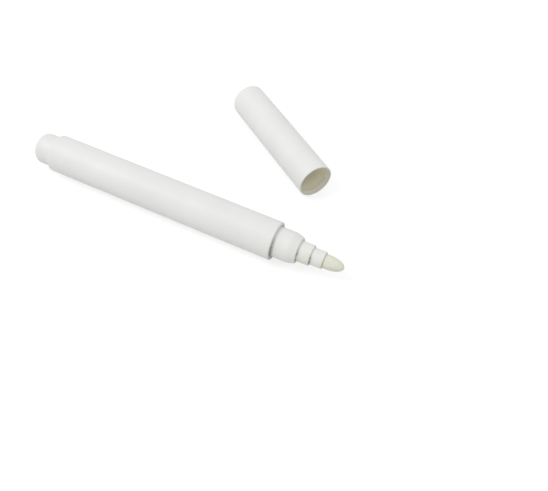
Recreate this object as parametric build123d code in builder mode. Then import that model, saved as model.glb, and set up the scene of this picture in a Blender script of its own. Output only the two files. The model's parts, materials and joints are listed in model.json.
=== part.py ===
from build123d import *
import os
from math import copysign, cos, pi, radians, sin

# Liquid chalk marker with a pump valve, lying on its side, with its cap pulled off and lying beside it.
# Lengths are in millimetres and angles in degrees. +X runs along the marker to its nib, +Z is up,
# and the origin is on the floor under the middle of the marker and its cap.

os.makedirs("parts", exist_ok=True)

# Clearances of the fits
press_gap = 0.02
nib_gap = 0.06
cap_gap = 0.06
cup_gap = 0.05
valve_gap = 0.05
ball_gap = 0.10

# Radii, stepped outwards from the nib
nib_diameter = 4.4
snout_wall = 0.39
sleeve_step = 0.55
flange_width = 0.62
collar_wall = 0.93
post_step = 0.20
barrel_wall = 1.01

# Nose, forwards from the front rim of the barrel
collar_reach = 7.5
collar_cylinder = 5.1
collar_taper = 0.72
collar_shoulder_radius = 4.5
collar_edge_radius = 0.3
collar_front_wall = 2.5
sleeve_reach = 4.0
snout_reach = 3.9
snout_edge_radius = 0.2
nib_reach = 6.2
bullet_length = 4.9
nib_tail_chamfer = 0.4

# Nib holder, behind the collar's front wall
flange_thickness = 2.0
ink_groove_width = 0.7
ink_groove_depth = 0.4
ink_groove_length = 6.0
ink_groove_count = 4

# Valve
pump_stroke = 2.5
stroke_reserve = 0.5
seal_thickness = 1.0
seal_hole_diameter = 3.0
stem_pin_diameter = 2.2
stem_flute_diameter = 0.9
stem_flute_count = 4
stem_head_thickness = 1.5
stem_head_gap = 0.4
stem_head_chamfer = 0.4
spigot_diameter = 2.5
spigot_length = 3.4
cage_wall = 0.8
cage_floor = 1.2
cage_boss_length = 2.8
cage_snap_height = 0.15
cage_snap_width = 0.6
port_diameter = 0.8
port_count = 6

# Valve spring
spring_turns = 7
spring_wire_diameter = 0.4
spring_slack = 0.4

# Barrel, and the seats pressed into its two sockets
barrel_length = 77.9
barrel_rear_radius = 1.0
barrel_rim_radius = 0.25
ink_step = 0.42
seat_land = 2.0
seat_relief = 0.25
collar_tail = 0.5
ball_diameter = 5.0

# End plug
plug_reach = 6.2
plug_seat = 11.0
plug_edge_radius = 2.0
plug_wall = 1.0
plug_end_wall = 1.5
plug_inner_radius = 1.2

# Cap and its inner cup
cap_length = 47.0
cap_wall = 0.91
cap_end_wall = 1.6
cap_edge_radius = 2.2
cap_inner_radius = 0.8
cap_lip_radius = 0.15
cap_lead_in = 0.52
cap_lead_length = 1.2
cap_seat_reserve = 1.6
cap_bore_step = 0.30
cup_set_back = 0.5
cup_wall = 0.9
cup_floor = 1.0
cup_tip_gap = 1.9
cup_lip_chamfer = 0.4
cup_end_radius = 0.7
rib_count = 6
rib_thickness = 0.8
rib_stop_step = 0.5

# Where the cap lies: its mouth, from the barrel's front rim, and the turn of its axis from the marker's
cap_mouth_along = 0.55
cap_mouth_aside = 28.7
cap_turn = -35.1

# Largest share of a wall that a rounded edge takes
edge_limit_share = 0.8

# Radii about the marker's axis
nib_r = nib_diameter / 2
nib_bore_r = nib_r + nib_gap
snout_r = nib_bore_r + snout_wall
sleeve_r = snout_r + sleeve_step
sleeve_hole_r = sleeve_r + press_gap
flange_r = sleeve_r + flange_width
chamber_r = flange_r + press_gap
collar_r = chamber_r + collar_wall
socket_r = collar_r + press_gap
ink_bore_r = socket_r - ink_step
post_r = collar_r + post_step
post_socket_r = post_r + press_gap
barrel_r = post_socket_r + barrel_wall
cage_bore_r = flange_r - cage_wall
stem_head_r = cage_bore_r - stem_head_gap
stem_pin_r = stem_pin_diameter / 2
spigot_r = spigot_diameter / 2
wire_r = spring_wire_diameter / 2
spring_r = spigot_r + spring_slack + wire_r
ball_r = ball_diameter / 2

# Stations along the marker's axis, from the front rim of the barrel
sleeve_front = collar_reach + sleeve_reach
snout_front = sleeve_front + snout_reach
nib_tip = snout_front + nib_reach
flange_front = collar_reach - collar_front_wall
flange_rear = flange_front - flange_thickness
seal_rear = flange_rear - seal_thickness
nib_rear = flange_rear + pump_stroke + stroke_reserve
head_front = seal_rear - valve_gap
head_rear = head_front - stem_head_thickness
spigot_rear = head_rear - spigot_length
boss_front = spigot_rear - pump_stroke - stroke_reserve
spring_seat = boss_front - cage_boss_length
cage_rear = spring_seat - cage_floor
cage_snap = spring_seat - cage_floor / 2
collar_rear = cage_rear - collar_tail
plug_front = plug_seat - barrel_length
plug_rear = -barrel_length - plug_reach
ball_station = (collar_rear + plug_front) / 2

# Radii about the cap's axis, and depths from its mouth
cap_bore_r = post_r + cap_gap
cap_r = cap_bore_r + cap_wall
cap_deep_r = cap_bore_r - cap_bore_step
cup_bore_r = sleeve_r + cup_gap
cup_r = cup_bore_r + cup_wall
rib_hold_r = cup_r + press_gap
rib_root_r = (cap_deep_r + cap_r) / 2
cap_seat_depth = collar_reach + cap_seat_reserve
cup_front = cap_seat_depth + cup_set_back
cup_end = nib_tip + cup_tip_gap
cup_stop = cup_end + cup_floor
cap_hollow_end = cap_length - cap_end_wall

# The origin is under the middle of the box round the marker and its cap
cap_along = cos(radians(cap_turn))
cap_across = sin(radians(cap_turn))
cap_end_aside = cap_mouth_aside - (cap_length - cap_edge_radius) * cap_across
cap_far_side = cap_end_aside + (cap_r - cap_edge_radius) * cap_along + cap_edge_radius
rim_x = -(nib_tip + plug_rear) / 2
pen_y = -(cap_far_side - barrel_r) / 2

# Each axis has a plane that holds it, for revolved profiles, and a plane across it, for sections
pen_origin = Vector(rim_x, pen_y, barrel_r)
pen_axis = Axis(pen_origin, (1, 0, 0))
pen_profile = Plane(pen_origin, x_dir=(1, 0, 0), z_dir=(0, -1, 0))
pen_section = Plane(pen_origin, x_dir=(0, 1, 0), z_dir=(1, 0, 0))
cap_origin = Vector(rim_x + cap_mouth_along, pen_y + cap_mouth_aside, cap_r)
cap_direction = Vector(cap_along, cap_across, 0)
cap_axis = Axis(cap_origin, cap_direction)
cap_profile = Plane(cap_origin, x_dir=cap_direction, z_dir=(cap_across, -cap_along, 0))
cap_section = Plane(cap_origin, x_dir=(0, 0, 1), z_dir=cap_direction)


def seat_outline(mouth, inner, grip_r):
    """Points of a pressed-in seat, from the socket's mouth inwards: two lands that grip, relieved between."""
    inwards = copysign(1, inner - mouth)
    middle = (mouth + inner) / 2
    half_land = inwards * seat_land / 2
    seat_r = grip_r - seat_relief
    return [
        (mouth, seat_r),
        (middle - half_land, seat_r),
        (middle - half_land, grip_r),
        (middle + half_land, grip_r),
        (middle + half_land, seat_r),
        (inner - 2 * half_land, seat_r),
        (inner - 2 * half_land, grip_r),
        (inner - inwards * seat_relief, grip_r),
        (inner, seat_r),
    ]


# Barrel: a tube with a socket at each end, each with a shoulder that the pressed-in piece stops on
with BuildPart() as barrel:
    with BuildSketch(pen_profile):
        with BuildLine():
            Polyline(
                (0, barrel_r),
                (0, socket_r),
                (collar_rear, socket_r),
                (collar_rear, ink_bore_r),
                (plug_front, ink_bore_r),
                (plug_front, post_socket_r),
                (-barrel_length, post_socket_r),
                (-barrel_length, barrel_r),
                close=True,
            )
        make_face()
    revolve(axis=pen_axis)
    outer_edges = barrel.edges().filter_by(GeomType.CIRCLE).group_by(SortBy.RADIUS)[-1].sort_by(Axis.X)
    fillet(outer_edges[0], radius=min(barrel_rear_radius, barrel_wall * edge_limit_share))
    outer_edges = barrel.edges().filter_by(GeomType.CIRCLE).group_by(SortBy.RADIUS)[-1].sort_by(Axis.X)
    fillet(outer_edges[-1], radius=min(barrel_rim_radius, barrel_wall * edge_limit_share))
barrel.part.label = "barrel"
export_step(barrel.part, "parts/barrel.step")

# End plug: hollow, with a round-ended outer half that is also the post for the cap
with BuildPart() as end_plug:
    with BuildSketch(pen_profile):
        with BuildLine():
            Polyline(
                (plug_rear, 0),
                (plug_rear, post_r),
                (-barrel_length, post_r),
                *seat_outline(-barrel_length, plug_front, post_r),
                (plug_front, post_r - plug_wall),
                (plug_rear + plug_end_wall, post_r - plug_wall),
                (plug_rear + plug_end_wall, 0),
                close=True,
            )
        make_face()
    revolve(axis=pen_axis)
    hollow_floor = end_plug.faces().filter_by(Axis.X).sort_by(Axis.X)[1]
    fillet(hollow_floor.edges(), radius=plug_inner_radius)
    outer_end = end_plug.faces().filter_by(Axis.X).sort_by(Axis.X)[0]
    fillet(outer_end.edges(), radius=plug_edge_radius)
end_plug.part.label = "end_plug"
export_step(end_plug.part, "parts/end_plug.step")

# Nose collar: the cap's seat in front of the rim, a lead-in cone, and the valve chamber inside
with BuildPart() as nose_collar:
    with BuildSketch(pen_profile):
        with BuildLine():
            Polyline(
                (collar_reach, sleeve_hole_r),
                (collar_reach, collar_r - collar_taper),
                (collar_cylinder, collar_r),
                (0, collar_r),
                *seat_outline(0, collar_rear, collar_r),
                (collar_rear, chamber_r),
                (cage_snap - cage_snap_width / 2, chamber_r),
                (cage_snap, chamber_r + cage_snap_height),
                (cage_snap + cage_snap_width / 2, chamber_r),
                (flange_front, chamber_r),
                (flange_front, sleeve_hole_r),
                close=True,
            )
        make_face()
    revolve(axis=pen_axis)
    widest_edges = nose_collar.edges().filter_by(GeomType.CIRCLE).group_by(SortBy.RADIUS)[-1].sort_by(Axis.X)
    fillet(widest_edges[-1], radius=collar_shoulder_radius)
    front_edges = nose_collar.edges().filter_by(GeomType.CIRCLE).group_by(Axis.X)[-1].sort_by(SortBy.RADIUS)
    fillet(front_edges[-1], radius=collar_edge_radius)
nose_collar.part.label = "nose_collar"
export_step(nose_collar.part, "parts/nose_collar.step")

# Nib holder: the two-step snout, its flange behind the collar's front wall, and ink grooves in its bore
with BuildPart() as nib_holder:
    with BuildSketch(pen_profile):
        with BuildLine():
            Polyline(
                (flange_rear, nib_bore_r),
                (flange_rear, flange_r),
                (flange_front, flange_r),
                (flange_front, sleeve_r),
                (sleeve_front, sleeve_r),
                (sleeve_front, snout_r),
                (snout_front, snout_r),
                (snout_front, nib_bore_r),
                close=True,
            )
        make_face()
    revolve(axis=pen_axis)
    sleeve_edges = nib_holder.edges().filter_by(GeomType.CIRCLE).group_by(Axis.X)[-2].sort_by(SortBy.RADIUS)
    snout_edges = nib_holder.edges().filter_by(GeomType.CIRCLE).group_by(Axis.X)[-1].sort_by(SortBy.RADIUS)
    fillet([sleeve_edges[-1], snout_edges[-1]], radius=min(snout_edge_radius, snout_wall * edge_limit_share))
    with BuildSketch(pen_section.offset(flange_rear)):
        with PolarLocations(nib_bore_r, ink_groove_count):
            Rectangle(2 * ink_groove_depth, ink_groove_width)
    extrude(amount=ink_groove_length, mode=Mode.SUBTRACT)
nib_holder.part.label = "nib_holder"
export_step(nib_holder.part, "parts/nib_holder.step")

# Nib: a fibre rod with a bullet point
with BuildPart() as nib:
    with BuildSketch(pen_profile):
        with BuildLine():
            Polyline(
                (nib_tip, 0),
                (nib_rear, 0),
                (nib_rear, nib_r - nib_tail_chamfer),
                (nib_rear + nib_tail_chamfer, nib_r),
                (nib_tip - bullet_length, nib_r),
            )
            EllipticalCenterArc((nib_tip - bullet_length, 0), bullet_length, nib_r, arc_size=90)
        make_face()
    revolve(axis=pen_axis)
nib.part.label = "nib"
export_step(nib.part, "parts/nib.step")

# Valve seal: a soft ring behind the nib holder's flange
with BuildPart() as valve_seal:
    with BuildSketch(pen_section.offset(seal_rear)):
        Circle(flange_r)
        Circle(seal_hole_diameter / 2, mode=Mode.SUBTRACT)
    extrude(amount=seal_thickness)
valve_seal.part.label = "valve_seal"
export_step(valve_seal.part, "parts/valve_seal.step")

# Valve stem: a head that closes on the seal, a spigot inside the spring and a fluted pin behind the nib
with BuildPart() as valve_stem:
    with BuildSketch(pen_section.offset(head_rear)):
        Circle(stem_head_r)
    extrude(amount=stem_head_thickness)
    chamfer(valve_stem.edges().group_by(Axis.X)[0], length=stem_head_chamfer)
    with BuildSketch(pen_section.offset(spigot_rear)):
        Circle(spigot_r)
    extrude(amount=spigot_length)
    with BuildSketch(pen_section.offset(head_front)):
        Circle(stem_pin_r)
        with PolarLocations(stem_pin_r, stem_flute_count):
            Circle(stem_flute_diameter / 2, mode=Mode.SUBTRACT)
    extrude(amount=nib_rear - head_front)
valve_stem.part.label = "valve_stem"
export_step(valve_stem.part, "parts/valve_stem.step")

# Valve cage: a cup with ink ports in its floor, and a boss that the spring sits round
with BuildPart() as valve_cage:
    with BuildSketch(pen_profile):
        with BuildLine():
            Polyline(
                (seal_rear, cage_bore_r),
                (seal_rear, flange_r),
                (cage_snap + cage_snap_width / 2, flange_r),
                (cage_snap, flange_r + cage_snap_height),
                (cage_snap - cage_snap_width / 2, flange_r),
                (cage_rear, flange_r),
                (cage_rear, 0),
                (boss_front, 0),
                (boss_front, spigot_r),
                (spring_seat, spigot_r),
                (spring_seat, cage_bore_r),
                close=True,
            )
        make_face()
    revolve(axis=pen_axis)
    with BuildSketch(pen_section.offset(cage_rear)):
        with PolarLocations((spring_r + wire_r + cage_bore_r) / 2, port_count):
            Circle(port_diameter / 2)
    extrude(amount=cage_floor, mode=Mode.SUBTRACT)
valve_cage.part.label = "valve_cage"
export_step(valve_cage.part, "parts/valve_cage.step")

# Valve spring: one round wire wound between the cage's floor and the stem's head
spring_first = spring_seat + press_gap + wire_r
spring_last = head_rear - valve_gap - wire_r
spring_pitch = (spring_last - spring_first) / spring_turns


def spring_place(turn):
    """Centre of the wire after so many turns."""
    angle = 2 * pi * turn
    across = Vector(0, cos(angle), sin(angle)) * spring_r
    return pen_origin + Vector(spring_first + spring_pitch * turn, 0, 0) + across


def spring_heading(turn):
    """Direction of the wire after so many turns."""
    angle = 2 * pi * turn
    circling = Vector(0, -sin(angle), cos(angle)) * (2 * pi * spring_r)
    return (circling + Vector(spring_pitch, 0, 0)).normalized()


def biarc_meeting(start, start_heading, finish, finish_heading):
    """Point where two arcs meet that leave start and reach finish along the given headings."""
    chord = finish - start
    heading_sum = start_heading + finish_heading
    spread = 2 * (1 - start_heading.dot(finish_heading))
    lean = chord.dot(heading_sum)
    reach = ((lean**2 + spread * chord.dot(chord)) ** 0.5 - lean) / spread
    return (start + finish + (start_heading - finish_heading) * reach) / 2


with BuildPart() as valve_spring:
    with BuildLine() as spring_path:
        for half_turn in range(2 * spring_turns):
            start = spring_place(half_turn / 2)
            finish = spring_place((half_turn + 1) / 2)
            heading = spring_heading(half_turn / 2)
            meeting = biarc_meeting(start, heading, finish, spring_heading((half_turn + 1) / 2))
            first_arc = TangentArc(start, meeting, tangent=heading)
            TangentArc(meeting, finish, tangent=first_arc % 1)
    with BuildSketch(Plane(spring_path.line @ 0, z_dir=spring_path.line % 0)):
        Circle(wire_r)
    sweep(path=spring_path.line)
valve_spring.part.label = "valve_spring"
export_step(valve_spring.part, "parts/valve_spring.step")

# Least gap between one turn of the wire and the next, on points along its centre line
spring_samples = 16
spring_count = spring_turns * spring_samples
spring_points = [spring_path.line @ (i / spring_count) for i in range(spring_count)]
spring_gap = min(
    (spring_points[j] - spring_points[i]).length
    for i in range(len(spring_points))
    for j in range(i + spring_samples // 2, len(spring_points))
) - spring_wire_diameter
print(f"valve spring: least gap between turns {spring_gap:.2f} mm")

# Mixing ball: lies on the bottom of the ink bore
with BuildPart() as mixing_ball:
    with Locations((rim_x + ball_station, pen_y, barrel_r - ink_bore_r + ball_gap + ball_r)):
        Sphere(ball_r)
mixing_ball.part.label = "mixing_ball"
export_step(mixing_ball.part, "parts/mixing_ball.step")

# Cap: a thin shell with a lead-in at its mouth, a seat for the collar, and ribs that hold the inner cup
with BuildPart() as cap:
    with BuildSketch(cap_profile):
        with BuildLine():
            Polyline(
                (0, cap_bore_r + cap_lead_in),
                (0, cap_r),
                (-cap_length, cap_r),
                (-cap_length, 0),
                (-cap_hollow_end, 0),
                (-cap_hollow_end, cap_deep_r),
                (-cap_seat_depth, cap_deep_r),
                (-cap_seat_depth, cap_bore_r),
                (-cap_lead_length, cap_bore_r),
                close=True,
            )
        make_face()
    revolve(axis=cap_axis)
    hollow_floor = cap.faces().filter_by(GeomType.PLANE).sort_by(cap_axis)[1]
    fillet(hollow_floor.edges(), radius=cap_inner_radius)
    closed_end = cap.faces().filter_by(GeomType.PLANE).sort_by(cap_axis)[0]
    fillet(closed_end.edges(), radius=cap_edge_radius)
    mouth_edges = cap.edges().filter_by(GeomType.CIRCLE).group_by(cap_axis)[-1].sort_by(SortBy.RADIUS)
    fillet(mouth_edges[-1], radius=min(cap_lip_radius, (cap_wall - cap_lead_in) * edge_limit_share))
    with BuildSketch(cap_section.offset(-cap_hollow_end)):
        with PolarLocations((rib_root_r + rib_hold_r) / 2, rib_count):
            Rectangle(rib_root_r - rib_hold_r, rib_thickness)
    extrude(amount=cap_hollow_end - cup_front)
    with BuildSketch(cap_section.offset(-cap_hollow_end)):
        with PolarLocations((rib_root_r + rib_hold_r - rib_stop_step) / 2, rib_count):
            Rectangle(rib_root_r - rib_hold_r + rib_stop_step, rib_thickness)
    extrude(amount=cap_hollow_end - cup_stop)
cap.part.label = "cap"
export_step(cap.part, "parts/cap.step")

# Inner cup: a soft liner, pushed between the ribs, that closes round the sleeve of the snout
with BuildPart() as cap_inner_cup:
    with BuildSketch(cap_profile):
        with BuildLine():
            Polyline(
                (-cup_front, cup_bore_r),
                (-cup_front, cup_r),
                (-cup_stop, cup_r),
                (-cup_stop, 0),
                (-cup_end, 0),
                (-cup_end, cup_bore_r),
                close=True,
            )
        make_face()
    revolve(axis=cap_axis)
    lip_edges = cap_inner_cup.edges().filter_by(GeomType.CIRCLE).group_by(cap_axis)[-1].sort_by(SortBy.RADIUS)
    chamfer(lip_edges[0], length=min(cup_lip_chamfer, cup_wall * edge_limit_share))
    end_edges = cap_inner_cup.edges().filter_by(GeomType.CIRCLE).sort_by(cap_axis)
    fillet(end_edges[0], radius=min(cup_end_radius, cup_wall * edge_limit_share))
cap_inner_cup.part.label = "cap_inner_cup"
export_step(cap_inner_cup.part, "parts/cap_inner_cup.step")
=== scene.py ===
import json
import math
from collections import namedtuple
import bmesh
import bpy
from mathutils import Matrix, Vector


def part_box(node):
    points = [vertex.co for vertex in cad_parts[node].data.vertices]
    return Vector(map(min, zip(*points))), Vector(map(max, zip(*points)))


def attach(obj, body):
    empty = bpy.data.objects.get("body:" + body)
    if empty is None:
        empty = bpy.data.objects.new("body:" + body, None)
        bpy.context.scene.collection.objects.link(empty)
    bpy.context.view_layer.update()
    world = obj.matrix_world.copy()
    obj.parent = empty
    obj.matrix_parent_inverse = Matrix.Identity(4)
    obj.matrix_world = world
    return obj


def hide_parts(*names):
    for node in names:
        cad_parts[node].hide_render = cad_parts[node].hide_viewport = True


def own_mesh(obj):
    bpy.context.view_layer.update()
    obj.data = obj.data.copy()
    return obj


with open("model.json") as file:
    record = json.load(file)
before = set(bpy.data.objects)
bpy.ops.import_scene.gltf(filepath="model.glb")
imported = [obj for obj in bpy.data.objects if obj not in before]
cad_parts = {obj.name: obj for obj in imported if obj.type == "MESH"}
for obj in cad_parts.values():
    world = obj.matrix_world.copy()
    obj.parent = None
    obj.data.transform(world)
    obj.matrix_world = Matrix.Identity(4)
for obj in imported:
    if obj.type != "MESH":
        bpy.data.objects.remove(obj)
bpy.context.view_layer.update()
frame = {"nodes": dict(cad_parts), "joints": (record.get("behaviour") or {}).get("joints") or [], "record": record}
nodes = frame["nodes"]
joints = {joint["name"]: joint for joint in frame["joints"]}
mounts = {mount["name"]: mount for mount in frame["record"]["mounts"]}
scene = bpy.context.scene
mm = 0.001


def mount_radius(name):
    return mounts[name]["dims"]["r_mm"] * mm


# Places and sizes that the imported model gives; places along the marker count from the barrel's front rim
marker_heading = Vector((1, 0, 0))
down = Vector((0, 0, -1))
barrel_low, barrel_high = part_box("barrel")
barrel_radius = (barrel_high.z - barrel_low.z) / 2
rim = Vector((barrel_high.x, (barrel_low.y + barrel_high.y) / 2, (barrel_low.z + barrel_high.z) / 2))
barrel_rear = barrel_low.x - rim.x
post_radius = mount_radius("rear_post")
collar_radius = mount_radius("cap_seat")
collar_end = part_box("nose_collar")[1].x - rim.x
snout_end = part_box("nib_holder")[1].x - rim.x
nib_low, nib_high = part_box("nib")
nib_radius = (nib_high.z - nib_low.z) / 2
nib_end = nib_high.x - rim.x
cap_low, cap_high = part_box("cap")
cap_radius = (cap_high.z - cap_low.z) / 2
cap_heading = Vector(joints["cap_push"]["axis"]).normalized()
cap_turn = math.atan2(cap_heading.y, cap_heading.x)
cap_point = Vector(mounts["cap_bore"]["pos_m"])
cap_reach = [(vertex.co - cap_point).dot(cap_heading) for vertex in nodes["cap"].data.vertices]
cap_mouth = cap_point + cap_heading * max(cap_reach)
cap_length = max(cap_reach) - min(cap_reach)

# Sizes of the nose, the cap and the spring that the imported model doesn't give
collar_marks = (1.8 * mm, 2.7 * mm)
sleeve_end = collar_end + 4.0 * mm
sleeve_radius = 3.2 * mm
snout_radius = 2.65 * mm
nib_point_length = 2.6 * mm
nib_foot_reach = 0.8 * mm
cap_rim_width = 0.45 * mm
cap_edge_width = 0.1 * mm
cap_end_wall = 1.6 * mm
cap_lip_depth = 3.0 * mm
wire_radius = 0.2 * mm
wire_sides = 12
spring_turns = 7
steps_per_turn = 28
closed_turns = 1
closed_pitch = 0.42 * mm
closing_turns = 0.4

# Camera of the photograph: lengths in barrel radii, from the point on the floor that it looks at
image_width = 548
sensor_width = 36
focal_pixels = 639.8
camera_elevation = math.radians(50.79)
camera_distance = 32.69
camera_roll = math.radians(6.02)
marker_turn = math.radians(20.497)
rim_place = Vector((0.1027, -0.5322, 1.0))
nearest_shown = 0.01
farthest_shown = 10.0

# Studio: one soft lamp, an even sky and a pale floor, lengths in metres
lamp_place = Vector((-0.85, -0.49, 1.26))
lamp_size = 0.64
lamp_power = 7.4
sky_strength = 0.76
floor_size = 1.2
floor_pale = (0.70, 0.70, 0.69, 1)
floor_shown = (0.35, 0.35, 0.35, 1)
floor_glow = 0.72
backdrop_white = (1, 1, 1, 1)

# Colours of the surfaces
white = (0.83, 0.83, 0.815, 1)
white_shade = (0.80, 0.80, 0.782, 1)
# Dark olive of the seams and the faint collar lines: painted shade in the seam corners
seam_shade_and_mark_olive = (0.19, 0.183, 0.122, 1)
# Olive near the snout's steps: painted shade in their corners
step_shade_olive = (0.52, 0.51, 0.34, 1)
ink_cream = (0.76, 0.75, 0.58, 1)
# Inside of the cap: painted light, a cream lighter than the white plastic
inside_painted_light = (0.985, 0.96, 0.82, 1)
inside_painted_light_shade = (0.97, 0.945, 0.80, 1)
# Painted shade on the inner wall near the cap's lip
lip_painted_shade = (0.46, 0.45, 0.38, 1)
# Liner, a cream lighter than the white plastic: painted light that lightens the inside of the cap
liner_painted_light = (0.90, 0.88, 0.75, 1)
liner_painted_light_shade = (0.86, 0.84, 0.71, 1)
fibre_pale = (0.845, 0.84, 0.74, 1)
fibre_dark = (0.715, 0.71, 0.59, 1)
fibre_worn = (0.80, 0.80, 0.73, 1)
clear_plastic = (0.68, 0.70, 0.70, 1)
clear_plastic_shade = (0.60, 0.63, 0.64, 1)
rubber_black = (0.025, 0.025, 0.027, 1)
rubber_dust = (0.055, 0.055, 0.058, 1)
steel_dark = (0.51, 0.52, 0.54, 1)
steel_bright = (0.60, 0.61, 0.63, 1)

# Sizes of the marks in the surfaces; a streak has one along X, Y and Z
cloud_size = 9 * mm
stain_size = 3.8 * mm
patch_size = 2.4 * mm
shade_blotch_size = 1.1 * mm
dust_size = 0.7 * mm
turned_ring_pitch = 0.55 * mm
pore_size = 0.26 * mm
grain_size = 0.24 * mm
speck_size = 0.19 * mm
draw_line_size = (22 * mm, 0.16 * mm, 0.16 * mm)
fibre_size = (4 * mm, 0.19 * mm, 0.19 * mm)
scratch_size = (1.1 * mm, 0.11 * mm, 0.11 * mm)

# Raised marks: depth, and how strongly it shows
grain_relief = (0.012 * mm, 0.35)
draw_line_relief = (0.006 * mm, 0.3)
turned_ring_relief = (0.004 * mm, 0.6)
fibre_relief = (0.05 * mm, 0.7)
rubber_relief = (0.012 * mm, 0.5)
scratch_relief = (0.004 * mm, 0.4)

# Roughness: of a plastic on average, and by how much less or more in patches; of the rest, lowest and highest
white_roughness = 0.5
liner_roughness = 0.5
clear_roughness = 0.4
roughness_less = 0.06
roughness_more = 0.07
fibre_roughness = (0.78, 0.92)
rubber_roughness = (0.7, 0.85)
steel_roughness = (0.2, 0.36)

# Indices of refraction
white_ior = 1.46
hidden_plastic_ior = 1.48
fibre_ior = 1.4
rubber_ior = 1.5

# Shares in which marks and tints are mixed
noise_range = (0.33, 0.67)
speck_share = 0.2
draw_line_share = 0.3
pore_share = 0.35
nib_point_share = 0.45
nib_foot_shade_share = 0.15
cap_lip_shade_share = 0.6

# Painted shade by side: the seam tints grow from the top of the marker to its bottom, where -1 is the top and 1
# the bottom
side_shade_starts = -0.95
side_shade_full = -0.45
side_shade_on_top = 0.12

# Least share of the painted shade at the seams left between its blotches
even_shade_blotches = 0.6
strong_shade_blotches = 0.15


class Graph:
    """A node material with short ways to add what the surfaces here need."""

    def __init__(self, name):
        self.material = bpy.data.materials.new(name)
        self.material.use_nodes = True
        self.tree = self.material.node_tree
        self.shader = self.tree.nodes["Principled BSDF"]
        self.place = self.add("ShaderNodeTexCoord").outputs["Object"]

    def add(self, kind, **settings):
        node = self.tree.nodes.new(kind)
        for key, value in settings.items():
            setattr(node, key, value)
        return node

    def feed(self, socket, value):
        if isinstance(value, bpy.types.NodeSocket):
            self.tree.links.new(value, socket)
        else:
            socket.default_value = value

    def math(self, operation, first, second=0.0):
        node = self.add("ShaderNodeMath", operation=operation)
        self.feed(node.inputs[0], first)
        self.feed(node.inputs[1], second)
        return node.outputs[0]

    def vector(self, operation, first, second, output="Vector"):
        node = self.add("ShaderNodeVectorMath", operation=operation)
        self.feed(node.inputs[0], first)
        self.feed(node.inputs[1], second)
        return node.outputs[output]

    def along(self, start, heading):
        """Distance from start along heading."""
        return self.vector("DOT_PRODUCT", self.vector("SUBTRACT", self.place, start), heading, "Value")

    def from_axis(self, start, heading):
        """Distance from the line through start along heading."""
        across = self.vector("CROSS_PRODUCT", self.vector("SUBTRACT", self.place, start), heading)
        return self.vector("DISTANCE", across, (0, 0, 0), "Value")

    def noise(self, size, detail=3.0, roughness=0.5):
        """Soft random marks of about that size."""
        return self.noise_at(self.place, 1 / size, detail, roughness)

    def streaks(self, sizes, turn=0.0, detail=3.0, roughness=0.5):
        """Random marks of those sizes along X, Y and Z, turned about Z."""
        node = self.add("ShaderNodeMapping", vector_type="TEXTURE")
        self.feed(node.inputs["Vector"], self.place)
        self.feed(node.inputs["Rotation"], (0, 0, turn))
        self.feed(node.inputs["Scale"], sizes)
        return self.noise_at(node.outputs["Vector"], 1.0, detail, roughness)

    def noise_at(self, place, scale, detail, roughness):
        node = self.add("ShaderNodeTexNoise")
        self.feed(node.inputs["Vector"], place)
        self.feed(node.inputs["Scale"], scale)
        self.feed(node.inputs["Detail"], detail)
        self.feed(node.inputs["Roughness"], roughness)
        return node.outputs["Fac"]

    def spread(self, value, low, high, new_low, new_high, smooth=False):
        """The value, between low and high, moved to between new_low and new_high."""
        node = self.add("ShaderNodeMapRange", interpolation_type="SMOOTHSTEP" if smooth else "LINEAR")
        self.feed(node.inputs["Value"], value)
        self.feed(node.inputs["From Min"], low)
        self.feed(node.inputs["From Max"], high)
        self.feed(node.inputs["To Min"], new_low)
        self.feed(node.inputs["To Max"], new_high)
        return node.outputs["Result"]

    def vary(self, noise, low, high):
        """The usual range of a noise, moved to between low and high."""
        return self.spread(noise, *noise_range, low, high)

    def mean(self, first, second, share):
        """First and second together, with that share of the second."""
        return self.math("ADD", self.math("MULTIPLY", first, 1 - share), self.math("MULTIPLY", second, share))

    def round_ring(self, station, radius, place, ring_radius, reach):
        """1 on the ring of that radius at place, falling to 0 at reach from it."""
        ahead = self.math("SUBTRACT", station, place)
        outward = self.math("SUBTRACT", radius, ring_radius)
        ahead_squared = self.math("MULTIPLY", ahead, ahead)
        outward_squared = self.math("MULTIPLY", outward, outward)
        distance = self.math("SQRT", self.math("ADD", ahead_squared, outward_squared))
        return self.spread(distance, 0.0, reach, 1.0, 0.0, smooth=True)

    def blend(self, share, first, second):
        """First, tinted with that share of second."""
        node = self.add("ShaderNodeMix", data_type="RGBA")
        self.feed(node.inputs["Factor"], share)
        colours = [socket for socket in node.inputs if socket.type == "RGBA"]
        self.feed(colours[0], first)
        self.feed(colours[1], second)
        return [socket for socket in node.outputs if socket.type == "RGBA"][0]

    def bump(self, height, relief, under=None):
        depth, strength = relief
        node = self.add("ShaderNodeBump")
        self.feed(node.inputs["Height"], height)
        self.feed(node.inputs["Distance"], depth)
        self.feed(node.inputs["Strength"], strength)
        if under is not None:
            self.feed(node.inputs["Normal"], under)
        return node.outputs["Normal"]

    def finish(self, colour, roughness, normal, **uniform):
        self.feed(self.shader.inputs["Base Color"], colour)
        self.feed(self.shader.inputs["Roughness"], roughness)
        self.feed(self.shader.inputs["Normal"], normal)
        for name, value in uniform.items():
            self.shader.inputs[name].default_value = value
        return self.material


def moulded_surface(graph, colour, shade, roughness, turn=0.0):
    """Colour, roughness and bump of a satin moulded plastic whose draw lines run at turn from X."""
    cloud = graph.noise(cloud_size, detail=2.0)
    tone = graph.mean(cloud, graph.noise(speck_size, detail=1.0), speck_share)
    mixed = graph.blend(graph.vary(tone, 0.0, 1.0), shade, colour)
    drawn = graph.streaks(draw_line_size, turn)
    patchy = graph.mean(graph.noise(patch_size), drawn, draw_line_share)
    rough = graph.vary(patchy, roughness - roughness_less, roughness + roughness_more)
    grain = graph.bump(graph.noise(grain_size, detail=2.0), grain_relief)
    normal = graph.bump(drawn, draw_line_relief, under=grain)
    return mixed, rough, normal


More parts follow.
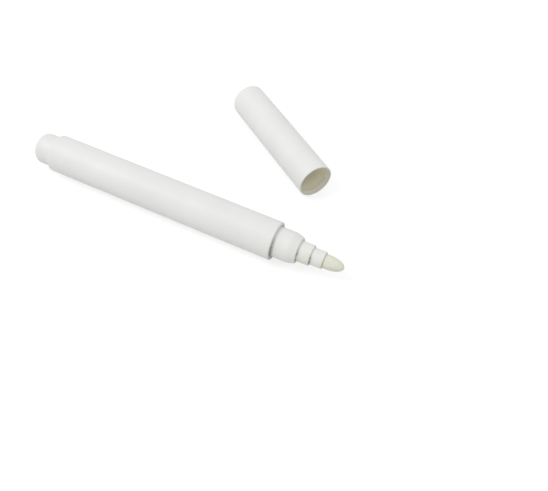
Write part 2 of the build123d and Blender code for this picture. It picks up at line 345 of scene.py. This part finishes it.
def white_plastic(name, seams, least_blotch=even_shade_blotches, turned_rings=False):
    """White plastic of the marker, with painted shade in the corners of its seams, least of it on top."""
    graph = Graph(name)
    mixed, rough, normal = moulded_surface(graph, white, white_shade, white_roughness)
    station = graph.along(rim, marker_heading)
    radius = graph.from_axis(rim, marker_heading)
    # Painted shade: the seam tints are strongest on the lower side and in the seam corners, broken into blotches
    # by noise
    lowness = graph.math("DIVIDE", graph.along(rim, down), radius)
    side_shade = graph.spread(lowness, side_shade_starts, side_shade_full, side_shade_on_top, 1.0)
    shade_blotches = graph.vary(graph.noise(shade_blotch_size, detail=4.0), least_blotch, 1.0)
    blotchy_shade = graph.math("MULTIPLY", shade_blotches, side_shade)
    for seam in seams:
        corner = graph.round_ring(station, radius, seam.place, seam.radius, seam.reach)
        share = graph.math("MULTIPLY", graph.math("MULTIPLY", corner, blotchy_shade), seam.most)
        mixed = graph.blend(share, mixed, seam.tint)
    if turned_rings:
        wave = graph.math("SINE", graph.math("MULTIPLY", station, 2 * math.pi / turned_ring_pitch))
        normal = graph.bump(wave, turned_ring_relief, under=normal)
    return graph.finish(mixed, rough, normal, IOR=white_ior)


def cap_plastic(name):
    """White plastic of the cap, with painted light inside, a cream lighter than its outside, and painted shade
    darker at the lip.
    """
    graph = Graph(name)
    mixed, rough, normal = moulded_surface(graph, white, white_shade, white_roughness, cap_turn)
    depth = graph.along(cap_mouth, -cap_heading)
    radius = graph.from_axis(cap_mouth, cap_heading)
    painted_inside_until = cap_radius - cap_rim_width
    white_from = cap_radius - cap_edge_width
    within = graph.spread(radius, painted_inside_until, white_from, 1.0, 0.0, smooth=True)
    hollow = graph.spread(depth, cap_length - 2 * cap_end_wall, cap_length - cap_end_wall, 1.0, 0.0)
    # Painted light: inside, the cap is a cream lighter than its outside
    inner = graph.blend(graph.noise(stain_size), inside_painted_light_shade, inside_painted_light)
    # Painted shade, darker towards the lip
    lip_shade = graph.spread(depth, 0.0, cap_lip_depth, cap_lip_shade_share, 0.0)
    inside = graph.math("MULTIPLY", within, hollow)
    mixed = graph.blend(inside, mixed, graph.blend(lip_shade, inner, lip_painted_shade))
    return graph.finish(mixed, rough, normal, IOR=white_ior)


def nib_fibre(name):
    """Bonded fibre: cream, with fine streaks along the nib, a worn point and painted shade at its foot."""
    graph = Graph(name)
    station = graph.along(rim, marker_heading)
    radius = graph.from_axis(rim, marker_heading)
    pore = graph.noise(pore_size, roughness=0.7)
    tone = graph.mean(graph.streaks(fibre_size, detail=4.0, roughness=0.6), pore, pore_share)
    mixed = graph.blend(graph.vary(tone, 0.0, 1.0), fibre_dark, fibre_pale)
    point = graph.spread(station, nib_end - nib_point_length, nib_end, 0.0, nib_point_share, smooth=True)
    mixed = graph.blend(point, mixed, fibre_worn)
    # Painted shade in the corner at the nib's foot, where it meets the snout
    foot_shade = graph.round_ring(station, radius, snout_end, nib_radius, nib_foot_reach)
    mixed = graph.blend(graph.math("MULTIPLY", foot_shade, nib_foot_shade_share), mixed, seam_shade_and_mark_olive)
    normal = graph.bump(tone, fibre_relief)
    return graph.finish(mixed, graph.vary(pore, *fibre_roughness), normal, IOR=fibre_ior)


def hidden_plastic(name, colour, shade, roughness, turn=0.0):
    graph = Graph(name)
    mixed, rough, normal = moulded_surface(graph, colour, shade, roughness, turn)
    return graph.finish(mixed, rough, normal, IOR=hidden_plastic_ior)


def soft_rubber(name):
    graph = Graph(name)
    dust = graph.noise(dust_size, detail=4.0)
    mixed = graph.blend(dust, rubber_black, rubber_dust)
    normal = graph.bump(graph.noise(grain_size), rubber_relief)
    return graph.finish(mixed, graph.vary(dust, *rubber_roughness), normal, IOR=rubber_ior)


def drawn_steel(name):
    graph = Graph(name)
    scratch = graph.streaks(scratch_size, detail=4.0)
    mixed = graph.blend(scratch, steel_dark, steel_bright)
    normal = graph.bump(scratch, scratch_relief)
    return graph.finish(mixed, graph.vary(scratch, *steel_roughness), normal, Metallic=1.0)


def dress(name, material):
    mesh = nodes[name].data
    mesh.materials.clear()
    mesh.materials.append(material)


# Tints along the seams, faint lines on the collar, and cream tints on the sleeve and at the snout's end: place,
# radius, reach, greatest share and tint. The olive tints at the seams are painted shade in their corners, and
# every tint is painted stronger on the lower side
Seam = namedtuple("Seam", "place radius reach most tint")
barrel_seams = (
    Seam(place=0.0, radius=collar_radius, reach=1.5 * mm, most=0.95, tint=seam_shade_and_mark_olive),
)
plug_seams = (
    Seam(place=barrel_rear, radius=post_radius, reach=0.8 * mm, most=0.12, tint=seam_shade_and_mark_olive),
)
collar_seams = (
    Seam(place=0.0, radius=collar_radius, reach=1.2 * mm, most=0.8, tint=seam_shade_and_mark_olive),
    Seam(place=collar_marks[0], radius=collar_radius, reach=0.3 * mm, most=0.08, tint=seam_shade_and_mark_olive),
    Seam(place=collar_marks[1], radius=collar_radius, reach=0.25 * mm, most=0.05, tint=seam_shade_and_mark_olive),
    Seam(place=collar_end, radius=sleeve_radius, reach=0.9 * mm, most=0.8, tint=seam_shade_and_mark_olive),
)
sleeve_middle = (collar_end + sleeve_end) / 2
snout_seams = (
    Seam(place=sleeve_middle, radius=sleeve_radius, reach=3.0 * mm, most=0.6, tint=ink_cream),
    Seam(place=collar_end, radius=sleeve_radius, reach=0.8 * mm, most=0.8, tint=seam_shade_and_mark_olive),
    Seam(place=sleeve_end, radius=snout_radius, reach=1.4 * mm, most=0.45, tint=step_shade_olive),
    Seam(place=sleeve_end, radius=snout_radius, reach=0.7 * mm, most=0.95, tint=seam_shade_and_mark_olive),
    Seam(place=snout_end, radius=nib_radius, reach=1.8 * mm, most=0.95, tint=ink_cream),
    Seam(place=snout_end, radius=nib_radius, reach=0.6 * mm, most=0.85, tint=step_shade_olive),
)

# A material for every node that shows as it is packed
dress("barrel", white_plastic("barrel_plastic", barrel_seams))
dress("end_plug", white_plastic("plug_plastic", plug_seams))
dress("nose_collar", white_plastic("collar_plastic", collar_seams, turned_rings=True))
dress("nib_holder", white_plastic("snout_plastic", snout_seams, strong_shade_blotches))
dress("nib", nib_fibre("nib_fibre"))
dress("cap", cap_plastic("cap_plastic"))
dress("cap_inner_cup", hidden_plastic("liner_plastic", liner_painted_light, liner_painted_light_shade, liner_roughness, cap_turn))
dress("valve_stem", hidden_plastic("stem_plastic", clear_plastic, clear_plastic_shade, clear_roughness))
dress("valve_cage", hidden_plastic("cage_plastic", clear_plastic, clear_plastic_shade, clear_roughness))
dress("valve_seal", soft_rubber("seal_rubber"))
dress("mixing_ball", drawn_steel("ball_steel"))


def smooth_step(value, low, high):
    share = min(max((value - low) / (high - low), 0.0), 1.0)
    return share * share * (3 - 2 * share)


def wire_stations(length):
    """How far along the spring its wire is at each step: close in the end turns, and even between them."""
    openness = []
    for step in range(spring_turns * steps_per_turn):
        turn = (step + 0.5) / steps_per_turn
        from_end = min(turn, spring_turns - turn)
        openness.append(smooth_step(from_end, closed_turns - closing_turns, closed_turns + closing_turns))
    spare = (length - closed_pitch * spring_turns) / sum(openness)
    stations = [0.0]
    for share in openness:
        stations.append(stations[-1] + closed_pitch / steps_per_turn + spare * share)
    return stations


def wound_wire(name, start, length, coil_radius):
    """A mesh of the spring's round wire, wound along X from start, with flat cut ends."""
    shape = bmesh.new()
    stations = wire_stations(length)
    step_length = 2 * math.pi * coil_radius / steps_per_turn
    rings = []
    for step, station in enumerate(stations):
        angle = 2 * math.pi * step / steps_per_turn
        outward = Vector((0, math.cos(angle), math.sin(angle)))
        circling = Vector((0, -math.sin(angle), math.cos(angle))) * step_length
        before = max(step - 1, 0)
        after = min(step + 1, len(stations) - 1)
        forward = marker_heading * ((stations[after] - stations[before]) / (after - before))
        across = (circling + forward).normalized().cross(outward)
        centre = start + marker_heading * station + outward * coil_radius
        ring = []
        for side in range(wire_sides):
            round_wire = 2 * math.pi * side / wire_sides
            offset = outward * math.cos(round_wire) + across * math.sin(round_wire)
            ring.append(shape.verts.new(centre + offset * wire_radius))
        rings.append(ring)
    for first, second in zip(rings, rings[1:]):
        for side in range(wire_sides):
            beside = (side + 1) % wire_sides
            face = shape.faces.new((first[side], first[beside], second[beside], second[side]))
            face.smooth = True
    shape.faces.new(rings[0][::-1])
    shape.faces.new(rings[-1])
    bmesh.ops.recalc_face_normals(shape, faces=shape.faces)
    mesh = bpy.data.meshes.new(name)
    shape.to_mesh(mesh)
    shape.free()
    piece = bpy.data.objects.new(name, mesh)
    scene.collection.objects.link(piece)
    return piece


# Valve spring, wound again as a round wire in place of the imported one, which is hidden
spring_low, spring_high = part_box("valve_spring")
coil_radius = (spring_high.z - spring_low.z) / 2 - wire_radius
spring_start = Vector((spring_low.x + wire_radius, rim.y, rim.z))
wire_reach = spring_high.x - spring_low.x - 2 * wire_radius
spring = wound_wire("spring_wire", spring_start, wire_reach, coil_radius)
spring.data.materials.append(drawn_steel("spring_steel"))
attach(spring, "barrel")
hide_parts("valve_spring")
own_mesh(spring)


def show_or_light(tree, lighting, shown, output):
    """Gives shown to rays from the camera or from a glossy or clear surface, and lighting to the rest."""
    path = tree.nodes.new("ShaderNodeLightPath")
    seen = path.outputs["Is Camera Ray"]
    for name in ("Is Glossy Ray", "Is Transmission Ray"):
        either = tree.nodes.new("ShaderNodeMath")
        either.operation = "MAXIMUM"
        tree.links.new(seen, either.inputs[0])
        tree.links.new(path.outputs[name], either.inputs[1])
        seen = either.outputs[0]
    choose = tree.nodes.new("ShaderNodeMixShader")
    tree.links.new(seen, choose.inputs["Fac"])
    tree.links.new(lighting.outputs[0], choose.inputs[1])
    tree.links.new(shown.outputs[0], choose.inputs[2])
    tree.links.new(choose.outputs[0], output.inputs["Surface"])


# Floor: plain and pale, and white to the camera, which still sees the shadow
bpy.ops.mesh.primitive_plane_add(size=floor_size, location=(0, 0, 0))
floor = bpy.context.object
floor.name = "floor"
paper = bpy.data.materials.new("floor_paper")
paper.use_nodes = True
tree = paper.node_tree
tree.nodes.clear()
lit_paper = tree.nodes.new("ShaderNodeBsdfDiffuse")
lit_paper.inputs["Color"].default_value = floor_pale
shown_paper = tree.nodes.new("ShaderNodeBsdfDiffuse")
shown_paper.inputs["Color"].default_value = floor_shown
glow = tree.nodes.new("ShaderNodeEmission")
glow.inputs["Strength"].default_value = floor_glow
bright_paper = tree.nodes.new("ShaderNodeAddShader")
tree.links.new(shown_paper.outputs[0], bright_paper.inputs[0])
tree.links.new(glow.outputs[0], bright_paper.inputs[1])
show_or_light(tree, lit_paper, bright_paper, tree.nodes.new("ShaderNodeOutputMaterial"))
floor.data.materials.append(paper)

# World: even studio light, white where it is seen
world = bpy.data.worlds.new("studio")
scene.world = world
world.use_nodes = True
tree = world.node_tree
tree.nodes.clear()
sky = tree.nodes.new("ShaderNodeBackground")
sky.inputs["Color"].default_value = backdrop_white
sky.inputs["Strength"].default_value = sky_strength
backdrop = tree.nodes.new("ShaderNodeBackground")
backdrop.inputs["Color"].default_value = backdrop_white
show_or_light(tree, sky, backdrop, tree.nodes.new("ShaderNodeOutputWorld"))

# Lamp, a square soft box that faces the object
lamp_data = bpy.data.lights.new("key", "AREA")
lamp_data.shape = "SQUARE"
lamp_data.size = lamp_size
lamp_data.energy = lamp_power
lamp = bpy.data.objects.new("key", lamp_data)
scene.collection.objects.link(lamp)
lamp.location = lamp_place
lamp.rotation_mode = "QUATERNION"
lamp.rotation_quaternion = (-lamp_place).to_track_quat("-Z", "Y")

# Camera, from the fit of the photograph's outlines
turned = Matrix.Rotation(marker_turn, 3, "Z")
back = Vector((0, -math.cos(camera_elevation), math.sin(camera_elevation)))
right = Vector((1, 0, 0))
up = right.cross(-back)
right_rolled = right * math.cos(camera_roll) + up * math.sin(camera_roll)
up_rolled = up * math.cos(camera_roll) - right * math.sin(camera_roll)
camera_data = bpy.data.cameras.new("photo_camera")
camera_data.sensor_width = sensor_width
camera_data.lens = focal_pixels / image_width * sensor_width
camera_data.clip_start = nearest_shown
camera_data.clip_end = farthest_shown
camera = bpy.data.objects.new("photo_camera", camera_data)
scene.collection.objects.link(camera)
pose = Matrix((turned @ right_rolled, turned @ up_rolled, turned @ back)).transposed().to_4x4()
pose.translation = rim + turned @ (back * camera_distance - rim_place) * barrel_radius
camera.matrix_world = pose
scene.camera = camera

scene.view_settings.view_transform = "Standard"
